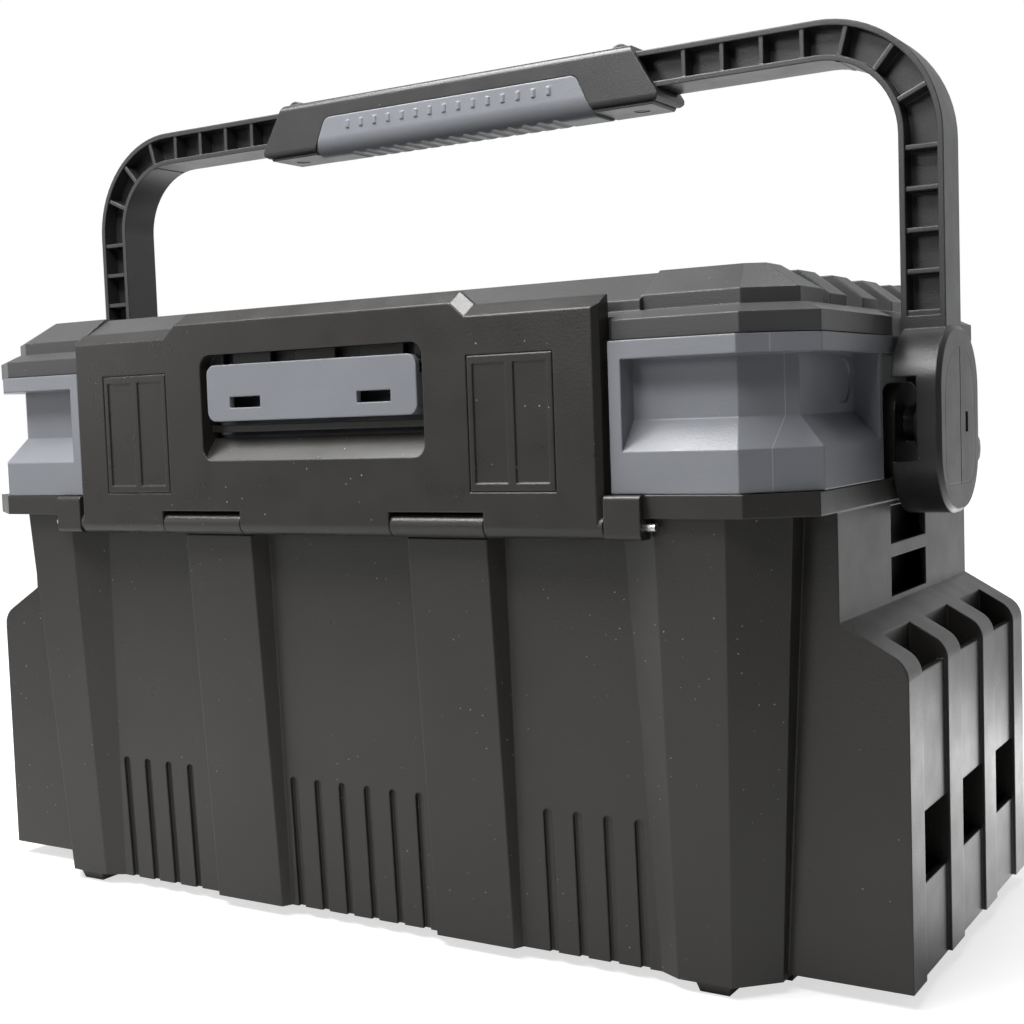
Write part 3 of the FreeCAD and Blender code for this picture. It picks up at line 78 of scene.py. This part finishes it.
# Floor and light: a pale floor that keeps the box's shadow and turns white away from it,
# a room that is white to the camera but darkens behind it and upward in reflections, and
# soft lamps above and around the box.
def shader(name):
    material = bpy.data.materials.new(name)
    material.use_nodes = True
    material.node_tree.nodes.clear()
    return material, material.node_tree.nodes, material.node_tree.links


def add_object(name, mesh):
    item = bpy.data.objects.new(name, mesh)
    collection.objects.link(item)
    return item


def calculate(tree, wire, operation, first, second):
    """A Math node on two values, each a socket or a number."""
    node = tree.new("ShaderNodeMath")
    node.operation = operation
    for socket, value in zip(node.inputs, (first, second)):
        if isinstance(value, float):
            socket.default_value = value
        else:
            wire.new(value, socket)
    return node.outputs[0]


def map_range(tree, wire, value, low, high, out_low, out_high):
    node = tree.new("ShaderNodeMapRange")
    for socket, amount in zip(("From Min", "From Max", "To Min", "To Max"),
                              (low, high, out_low, out_high)):
        node.inputs[socket].default_value = amount
    wire.new(value, node.inputs["Value"])
    return node.outputs["Result"]


DARK_END = (0.53, -0.85, 0.0)
CEILING_LIGHT = 0.45
WALLS = ((0.0, 0.75), (0.15, 0.70), (0.5, 0.26), (0.70, 0.20), (0.84, 0.03), (1.0, 0.01))


def wall_light(tree, wire, direction):
    """How bright the room is one way: bright behind the box, dark behind the camera and
    dimmer toward the ceiling."""
    level = tree.new("ShaderNodeVectorMath")
    level.operation = "NORMALIZE"
    wire.new(direction, level.inputs[0])
    facing = tree.new("ShaderNodeVectorMath")
    facing.operation = "DOT_PRODUCT"
    facing.inputs[1].default_value = DARK_END
    wire.new(level.outputs["Vector"], facing.inputs[0])
    walls = tree.new("ShaderNodeValToRGB")
    stops = walls.color_ramp.elements
    for number, (spot, strength) in enumerate(WALLS):
        stop = stops[number] if number < 2 else stops.new(spot)
        stop.position = spot
        stop.color = (strength, strength, strength, 1)
    wire.new(map_range(tree, wire, facing.outputs["Value"], -1.0, 1.0, 0.0, 1.0),
             walls.inputs["Fac"])
    upward = tree.new("ShaderNodeSeparateXYZ")
    wire.new(level.outputs["Vector"], upward.inputs[0])
    dimmer = map_range(tree, wire, upward.outputs["Z"], 0.25, 0.65, 1.0, CEILING_LIGHT)
    return calculate(tree, wire, "MULTIPLY", walls.outputs["Color"], dimmer)


FLOOR_COLOUR = (0.50, 0.50, 0.50, 1)
SHADOW_NEAR, SHADOW_FAR, SHADOW_LIGHT = 0.22, 0.48, 0.66
PATCH_PLACE = (0.28, 0.15, 0.0)
PATCH_INNER, PATCH_OUTER, PATCH_LIGHT = 0.12, 0.36, 9.0
FLOOR_HALF, FLOOR_HIGH = 6, -0.0002

# The floor glows white for the camera. In reflections it is as bright as the room is that
# way, with a brighter patch beside the right end of the box, toward the rear.
floor_material, tree, wire = shader("pale_floor")
out = tree.new("ShaderNodeOutputMaterial")
paint = tree.new("ShaderNodeBsdfDiffuse")
paint.inputs["Color"].default_value = FLOOR_COLOUR
glow = tree.new("ShaderNodeEmission")
place = tree.new("ShaderNodeTexCoord")
reach = tree.new("ShaderNodeVectorMath")
reach.operation = "LENGTH"
wire.new(place.outputs["Object"], reach.inputs[0])
fade = map_range(tree, wire, reach.outputs["Value"], SHADOW_NEAR, SHADOW_FAR,
                 SHADOW_LIGHT, 1.0)
aside = tree.new("ShaderNodeVectorMath")
aside.operation = "DISTANCE"
wire.new(place.outputs["Object"], aside.inputs[0])
aside.inputs[1].default_value = PATCH_PLACE
patch = map_range(tree, wire, aside.outputs["Value"], PATCH_INNER, PATCH_OUTER,
                  PATCH_LIGHT, 1.0)
seen = tree.new("ShaderNodeLightPath")
mirrored = calculate(tree, wire, "MULTIPLY", seen.outputs["Is Glossy Ray"],
                     wall_light(tree, wire, place.outputs["Object"]))
mirrored = calculate(tree, wire, "MULTIPLY", mirrored, patch)
shown = calculate(tree, wire, "MAXIMUM", seen.outputs["Is Camera Ray"], mirrored)
wire.new(calculate(tree, wire, "MULTIPLY", shown, fade), glow.inputs["Strength"])
both = tree.new("ShaderNodeAddShader")
wire.new(paint.outputs[0], both.inputs[0])
wire.new(glow.outputs[0], both.inputs[1])
wire.new(both.outputs[0], out.inputs["Surface"])
floor_mesh = bpy.data.meshes.new("floor")
corners = [(FLOOR_HALF * x, FLOOR_HALF * y, FLOOR_HIGH)
           for x, y in ((-1, -1), (1, -1), (1, 1), (-1, 1))]
floor_mesh.from_pydata(corners, [], [(0, 1, 2, 3)])
floor = add_object("floor", floor_mesh)
floor.data.materials.append(floor_material)

world = bpy.data.worlds.new("studio")
bpy.context.scene.world = world
world.use_nodes = True
sky = world.node_tree.nodes
sky.clear()
wire = world.node_tree.links
out = sky.new("ShaderNodeOutputWorld")
mix = sky.new("ShaderNodeMixShader")
seen = sky.new("ShaderNodeLightPath")
room = sky.new("ShaderNodeTexCoord")
light = sky.new("ShaderNodeBackground")
light.inputs["Color"].default_value = (0.97, 0.98, 1.0, 1)
wire.new(wall_light(sky, wire, room.outputs["Generated"]), light.inputs["Strength"])
white = sky.new("ShaderNodeBackground")
white.inputs["Color"].default_value = (1, 1, 1, 1)
white.inputs["Strength"].default_value = 1.0
wire.new(seen.outputs["Is Camera Ray"], mix.inputs[0])
wire.new(light.outputs[0], mix.inputs[1])
wire.new(white.outputs[0], mix.inputs[2])
wire.new(mix.outputs[0], out.inputs["Surface"])


def lamp(name, place, aim, size, watts):
    """A rectangular lamp at one place, turned toward another."""
    data = bpy.data.lights.new(name, "AREA")
    data.shape = "RECTANGLE"
    data.size, data.size_y = size
    data.energy = watts
    item = bpy.data.objects.new(name, data)
    item.location = place
    item.rotation_euler = (Vector(aim) - Vector(place)).to_track_quat("-Z", "Y").to_euler()
    collection.objects.link(item)


lamp("overhead", (-0.22, -0.20, 0.88), (0.0, -0.08, 0.2), (0.40, 0.24), 6.0)
lamp("overhead_right", (0.24, 0.14, 0.98), (0.07, -0.11, 0.24), (0.20, 0.20), 1.4)
lamp("key_near", (-0.14, -0.50, 0.76), (0, -0.1, 0.24), (1.0, 0.20), 9.4)
lamp("front_left", (-0.36, -1.50, 0.60), (0.1, -0.1, 0.28), (0.46, 0.35), 2.3)
lamp("left", (-1.2, -0.9, 0.5), (0, 0, 0.2), (0.6, 0.6), 1.5)
lamp("right_back", (1.2, 1.1, 0.8), (0, 0, 0.2), (1.0, 1.0), 2.0)


# Base bin: one black plastic moulding with posts, recessed panels, end holders,
# the ears of the handle and the knuckles of both hinges. The mould's spark-eroded face
# leaves a fine grain, and every edge comes out of it a little rounded.
GRAIN_SCALE, PIT_SCALE, GRAIN_DEEP = 2400, 1300, 0.0001
CLOUD_SCALE, RUB_SCALE = 16, 70
DUST_SCALE, DUST_AREA_SCALE, DUST_SIZE = 230, 22, 0.075
DUST_COLOUR = (0.62, 0.61, 0.58, 1)
EDGE_SAMPLES = 6


def moulded_plastic(name, colour, rough, grain, dust, edge):
    """Satin plastic with mould grain, faint clouding, rubbed patches and a little dust."""
    material, tree, wire = shader(name)
    out = tree.new("ShaderNodeOutputMaterial")
    skin = tree.new("ShaderNodeBsdfPrincipled")
    place = tree.new("ShaderNodeTexCoord")

    def noise(scale, detail, kind="ShaderNodeTexNoise"):
        texture = tree.new(kind)
        texture.inputs["Scale"].default_value = scale
        texture.inputs["Detail"].default_value = detail
        wire.new(place.outputs["Object"], texture.inputs["Vector"])
        return texture

    fine = noise(GRAIN_SCALE, 2)
    pits = noise(PIT_SCALE, 0, "ShaderNodeTexVoronoi")
    cloud = noise(CLOUD_SCALE, 6)
    rub = noise(RUB_SCALE, 4)
    speck = noise(DUST_SCALE, 0, "ShaderNodeTexVoronoi")
    where = noise(DUST_AREA_SCALE, 3)
    height = calculate(tree, wire, "ADD", fine.outputs["Fac"], pits.outputs["Distance"])
    round_edge = tree.new("ShaderNodeBevel")
    round_edge.samples = EDGE_SAMPLES
    round_edge.inputs["Radius"].default_value = edge
    bump = tree.new("ShaderNodeBump")
    bump.inputs["Strength"].default_value = grain
    bump.inputs["Distance"].default_value = GRAIN_DEEP
    wire.new(height, bump.inputs["Height"])
    wire.new(round_edge.outputs["Normal"], bump.inputs["Normal"])
    wire.new(bump.outputs["Normal"], skin.inputs["Normal"])
    tone = map_range(tree, wire, cloud.outputs["Fac"], 0.3, 0.7, 0.92, 1.08)
    base = tree.new("ShaderNodeHueSaturation")
    base.inputs["Color"].default_value = (*colour, 1)
    wire.new(tone, base.inputs["Value"])
    dot = map_range(tree, wire, speck.outputs["Distance"], 0.0, DUST_SIZE, 1.0, 0.0)
    dusty = map_range(tree, wire, where.outputs["Fac"], 0.46, 0.62, 0.0, dust)
    mixed = tree.new("ShaderNodeMix")
    mixed.data_type = "RGBA"
    wire.new(calculate(tree, wire, "MULTIPLY", dot, dusty), mixed.inputs["Factor"])
    wire.new(base.outputs["Color"], mixed.inputs["A"])
    mixed.inputs["B"].default_value = DUST_COLOUR
    wire.new(mixed.outputs["Result"], skin.inputs["Base Color"])
    worn = map_range(tree, wire, rub.outputs["Fac"], 0.35, 0.7, 0.03, -0.04)
    gloss = map_range(tree, wire, cloud.outputs["Fac"], 0.3, 0.7, rough + 0.03, rough - 0.03)
    wire.new(calculate(tree, wire, "ADD", gloss, worn), skin.inputs["Roughness"])
    wire.new(skin.outputs[0], out.inputs["Surface"])
    return material


def dress(names, finish):
    """Give CAD nodes one finish in place of the plain one they come with."""
    for name in names:
        nodes[name].data.materials.clear()
        nodes[name].data.materials.append(finish)


bin_plastic = moulded_plastic("bin_plastic", (0.0210, 0.0195, 0.0172), 0.33, 0.35, 0.8,
                              0.0009)
dress(["base_bin"], bin_plastic)


# Lift-out tray: a thin black moulding that stands on ledges at both ends of the bin.
dress(["lift_out_tray"], bin_plastic)


# Middle tray: a grey moulding with faint upright lines where the blocks of the mould met.
# Two loose dividers cross its inside.
GREY = (0.163, 0.170, 0.187)
MOULD_LINES = (0.1812, 0.0695, -0.1812)
LINE_INNER, LINE_OUTER, LINE_STRENGTH = 0.00008, 0.0002, 0.16
PALE_GREY = (0.72, 0.73, 0.76, 1)
grey_plastic = moulded_plastic("grey_plastic", GREY, 0.35, 0.3, 0.5, 0.0009)
tray_plastic = moulded_plastic("tray_plastic", GREY, 0.35, 0.3, 0.5, 0.0009)


def mark_lines(material, line_places):
    """Paler mould lines at a few places along X."""
    tree = material.node_tree.nodes
    wire = material.node_tree.links
    skin = next(node for node in tree if node.type == "BSDF_PRINCIPLED")
    below = skin.inputs["Base Color"].links[0].from_socket
    place = tree.new("ShaderNodeTexCoord")
    axes = tree.new("ShaderNodeSeparateXYZ")
    wire.new(place.outputs["Object"], axes.inputs[0])
    total = 0.0
    for spot in line_places:
        away = calculate(tree, wire, "SUBTRACT", axes.outputs["X"], spot)
        off = calculate(tree, wire, "ABSOLUTE", away, 0.0)
        line = map_range(tree, wire, off, LINE_INNER, LINE_OUTER, LINE_STRENGTH, 0.0)
        total = calculate(tree, wire, "MAXIMUM", total, line)
    pale = tree.new("ShaderNodeMix")
    pale.data_type = "RGBA"
    wire.new(total, pale.inputs["Factor"])
    wire.new(below, pale.inputs["A"])
    pale.inputs["B"].default_value = PALE_GREY
    wire.new(pale.outputs["Result"], skin.inputs["Base Color"])


mark_lines(tray_plastic, MOULD_LINES)
dress(["mid_tray"], tray_plastic)
dress(["tray_divider_left", "tray_divider_right"], grey_plastic)


# Lid: a ribbed black moulding, a little hazier than the bin's. Its black is painted paler
# than the bin's, as painted light for the brighter light on the top of the box.
lid_black_painted_lighter = moulded_plastic("lid_black_painted_lighter", (0.044, 0.044, 0.044), 0.38, 0.3, 0.5,
                              0.0008)
dress(["lid"], lid_black_painted_lighter)


# Front flap: black, smoother than the bin, with one small facet polished in the mould.
FACET_NORMAL = (0.590, -0.430, 0.683)
FACET_GLOSS = 0.4
FACET_MATCH = (0.975, 0.99)
flap_plastic = moulded_plastic("flap_plastic", (0.0195, 0.0182, 0.0165), 0.31, 0.3, 0.9,
                               0.0010)


def polish_facet(material, normal, smooth):
    """Make the faces that point one way glossier than the rest."""
    tree = material.node_tree.nodes
    wire = material.node_tree.links
    skin = next(node for node in tree if node.type == "BSDF_PRINCIPLED")
    rough = skin.inputs["Roughness"].links[0].from_socket
    surface = tree.new("ShaderNodeTexCoord")
    facing = tree.new("ShaderNodeVectorMath")
    facing.operation = "DOT_PRODUCT"
    facing.inputs[1].default_value = normal
    wire.new(surface.outputs["Normal"], facing.inputs[0])
    share = map_range(tree, wire, facing.outputs["Value"], *FACET_MATCH, 1.0, smooth)
    wire.new(calculate(tree, wire, "MULTIPLY", rough, share), skin.inputs["Roughness"])


polish_facet(flap_plastic, FACET_NORMAL, FACET_GLOSS)
dress(["front_flap"], flap_plastic)


# Latch: a grey pull plate on a steel pin that also carries two coil springs.
dress(["latch_handle"], grey_plastic)


# Handle, hub caps and grip: black mouldings, with a grey insert in the grip. Their black is
# painted a little paler than the bin's, as painted light for the brighter light on the upper
# parts.
handle_black_painted_lighter = moulded_plastic("handle_black_painted_lighter", (0.026, 0.0256, 0.0255), 0.33, 0.3, 0.5,
                                 0.0008)
dress(["handle_bail", "hub_cap_left", "hub_cap_right", "grip_cover", "grip_lower"],
      handle_black_painted_lighter)
dress(["grip_insert"], grey_plastic)


# Pins, screws and washers: drawn steel, bright on the pins and blackened on the screws
# that hold the grip together from below.
DRAWN_SCALE, DRAWN_SPREAD = 900, 0.18


def drawn_steel(name, colour, rough):
    """Metal whose gloss varies finely, as drawing leaves it."""
    material, tree, wire = shader(name)
    out = tree.new("ShaderNodeOutputMaterial")
    skin = tree.new("ShaderNodeBsdfPrincipled")
    skin.inputs["Base Color"].default_value = (*colour, 1)
    skin.inputs["Metallic"].default_value = 1.0
    place = tree.new("ShaderNodeTexCoord")
    lines = tree.new("ShaderNodeTexNoise")
    lines.inputs["Scale"].default_value = DRAWN_SCALE
    wire.new(place.outputs["Object"], lines.inputs["Vector"])
    wire.new(map_range(tree, wire, lines.outputs["Fac"], 0.3, 0.7, rough,
                       rough + DRAWN_SPREAD), skin.inputs["Roughness"])
    wire.new(skin.outputs[0], out.inputs["Surface"])
    return material


steel = drawn_steel("steel", (0.62, 0.62, 0.63), 0.2)
blackened = drawn_steel("blackened_steel", (0.06, 0.06, 0.065), 0.32)
for entry in frame["record"]["subparts"]:
    if entry["material_slot"] == "steel":
        screw = entry["node"].startswith("grip_screw")
        dress([entry["node"]], blackened if screw else steel)


# Latch springs: steel wire coiled round the latch pin. Geometry nodes sweep a round wire
# along a spiral, which is then laid along the pin in place of the plain sleeve.
WIRE_RADIUS = 0.0003
COILS = 5.0
POINTS_PER_COIL, WIRE_SIDES = 20, 8


def coil_group():
    """Node group that makes one spring along Z from its four measures."""
    group = bpy.data.node_groups.new("coil_spring", "GeometryNodeTree")
    for name in ("Coil Radius", "Length", "Turns", "Wire Radius"):
        group.interface.new_socket(name, in_out="INPUT", socket_type="NodeSocketFloat")
    group.interface.new_socket("Geometry", in_out="OUTPUT",
                               socket_type="NodeSocketGeometry")
    tree, wire = group.nodes, group.links
    given = tree.new("NodeGroupInput").outputs
    spiral = tree.new("GeometryNodeCurveSpiral")
    spiral.inputs["Resolution"].default_value = POINTS_PER_COIL
    for source, target in (("Turns", "Rotations"), ("Coil Radius", "Start Radius"),
                           ("Coil Radius", "End Radius"), ("Length", "Height")):
        wire.new(given[source], spiral.inputs[target])
    section = tree.new("GeometryNodeCurvePrimitiveCircle")
    section.inputs["Resolution"].default_value = WIRE_SIDES
    wire.new(given["Wire Radius"], section.inputs["Radius"])
    swept = tree.new("GeometryNodeCurveToMesh")
    swept.inputs["Fill Caps"].default_value = True
    wire.new(spiral.outputs[0], swept.inputs["Curve"])
    wire.new(section.outputs[0], swept.inputs["Profile Curve"])
    real = tree.new("GeometryNodeRealizeInstances")
    wire.new(swept.outputs[0], real.inputs[0])
    finish = tree.new("GeometryNodeSetMaterial")
    finish.inputs["Material"].default_value = steel
    wire.new(real.outputs[0], finish.inputs["Geometry"])
    wire.new(finish.outputs[0], tree.new("NodeGroupOutput").inputs[0])
    return group


coil_tree = coil_group()
for side in ("left", "right"):
    low, high = (Vector(corner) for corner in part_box(f"latch_spring_{side}"))
    middle = (low + high) / 2
    amounts = {"Coil Radius": (high.z - low.z) / 2 - WIRE_RADIUS, "Turns": COILS,
               "Length": high.x - low.x - 2 * WIRE_RADIUS, "Wire Radius": WIRE_RADIUS}
    blank = add_object(f"coil_blank_{side}", bpy.data.meshes.new(f"coil_blank_{side}"))
    coiling = blank.modifiers.new("coil", "NODES")
    coiling.node_group = coil_tree
    for socket in coil_tree.interface.items_tree:
        if socket.in_out == "INPUT":
            coiling[socket.identifier] = amounts[socket.name]
    bpy.context.view_layer.update()
    coiled = blank.evaluated_get(bpy.context.evaluated_depsgraph_get())
    coil_mesh = bpy.data.meshes.new_from_object(coiled)
    bpy.data.objects.remove(blank)
    along_pin = Matrix.Rotation(math.radians(90), 4, "Y")
    start = Vector((low.x + WIRE_RADIUS, middle.y, middle.z))
    coil_mesh.transform(Matrix.Translation(start) @ along_pin)
    coil_mesh.polygons.foreach_set("use_smooth", [True] * len(coil_mesh.polygons))
    coil = add_object(f"coil_spring_{side}", coil_mesh)
    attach(coil, "flap")
    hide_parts(f"latch_spring_{side}")
